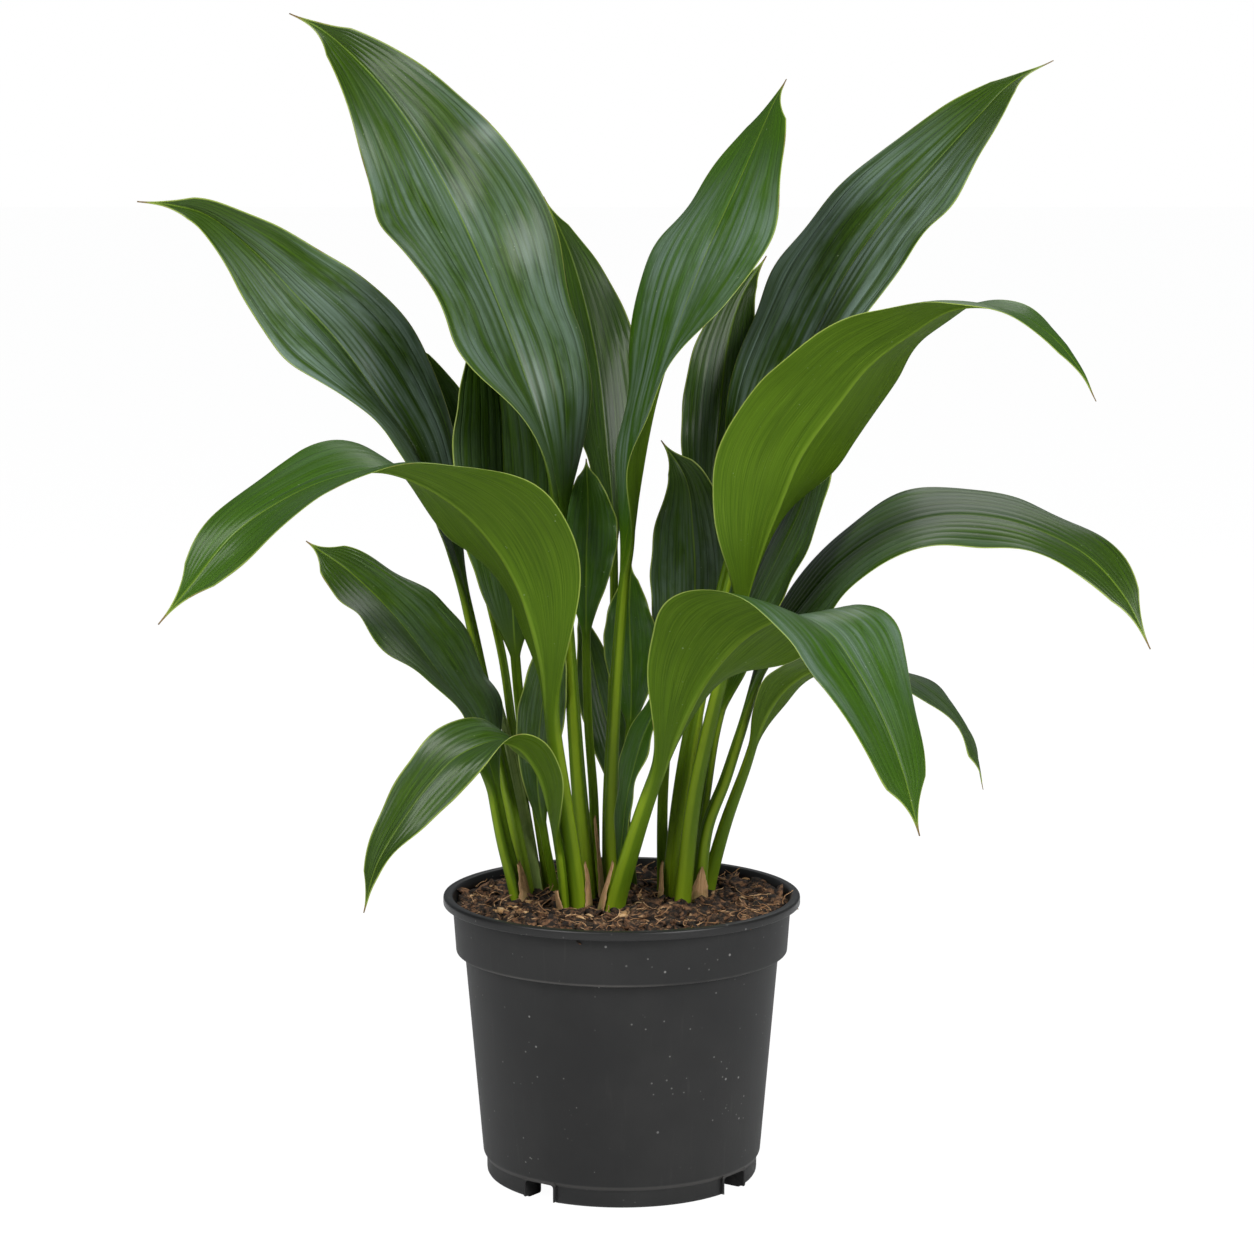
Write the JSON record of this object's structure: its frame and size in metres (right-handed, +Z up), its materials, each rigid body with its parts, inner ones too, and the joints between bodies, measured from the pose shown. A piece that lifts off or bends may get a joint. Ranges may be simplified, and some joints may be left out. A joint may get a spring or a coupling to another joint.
{
  "type": "potted cast iron plant",
  "caption": "Potted cast iron plant: upright, arching and drooping lance-shaped leaves on long stalks, in dark potting soil in a round tapered nursery pot with a flanged rim.",
  "frame": {"origin": "on the pot's axis, in the plane that its foot stands on", "axes": "+Z up along the pot's axis, -Y the front, +X the viewer's right"},
  "size_m": [0.5273, 0.2887, 0.6163],
  "materials": {
    "pot_plastic": "charcoal injection-moulded polypropylene, satin, with fine pale specks and scuffs",
    "potting_soil": "moist dark brown peat and bark mix with root fibres and wood chips",
    "rhizome_skin": "tan, scaly, ringed",
    "leaf_dark": "leathery dark green, satin gloss above, paler and duller below, parallel veins",
    "leaf_bright": "leathery mid green, paler and duller below, parallel veins, yellow-green margin",
    "dry_sheath": "dry papery tan-brown scale",
    "green_sheath": "fresh green scale with a pale edge"
  },
  "bodies": {
    "root": {"nursery_pot": "pot_plastic", "potting_soil": "potting_soil", "rhizome": "rhizome_skin", "leaf_tall_left": "leaf_dark", "leaf_tall_centre": "leaf_bright", "leaf_tall_right": "leaf_dark", "leaf_arching_right": "leaf_bright", "leaf_far_right": "leaf_dark", "leaf_front_right": "leaf_bright", "leaf_low_right": "leaf_dark", "leaf_far_left": "leaf_dark", "leaf_arching_left": "leaf_bright", "leaf_middle_left": "leaf_dark", "leaf_low_left": "leaf_dark", "leaf_back_left": "leaf_dark", "leaf_upright_left": "leaf_dark", "leaf_behind_tall_left": "leaf_dark", "leaf_inner_left": "leaf_bright", "leaf_behind_tall_right": "leaf_dark", "leaf_middle_right": "leaf_dark", "leaf_inner_right": "leaf_dark", "leaf_young_centre": "leaf_bright", "leaf_young_front": "leaf_bright", "leaf_young_left": "leaf_dark", "leaf_young_back": "leaf_dark", "sheath_left": "dry_sheath", "sheath_low_left": "dry_sheath", "sheath_arching_left": "dry_sheath", "sheath_front": "dry_sheath", "sheath_tall_left": "dry_sheath", "sheath_far_right": "dry_sheath", "sheath_tall_right": "dry_sheath", "sheath_back_left": "green_sheath"}
  },
  "joints": []
}
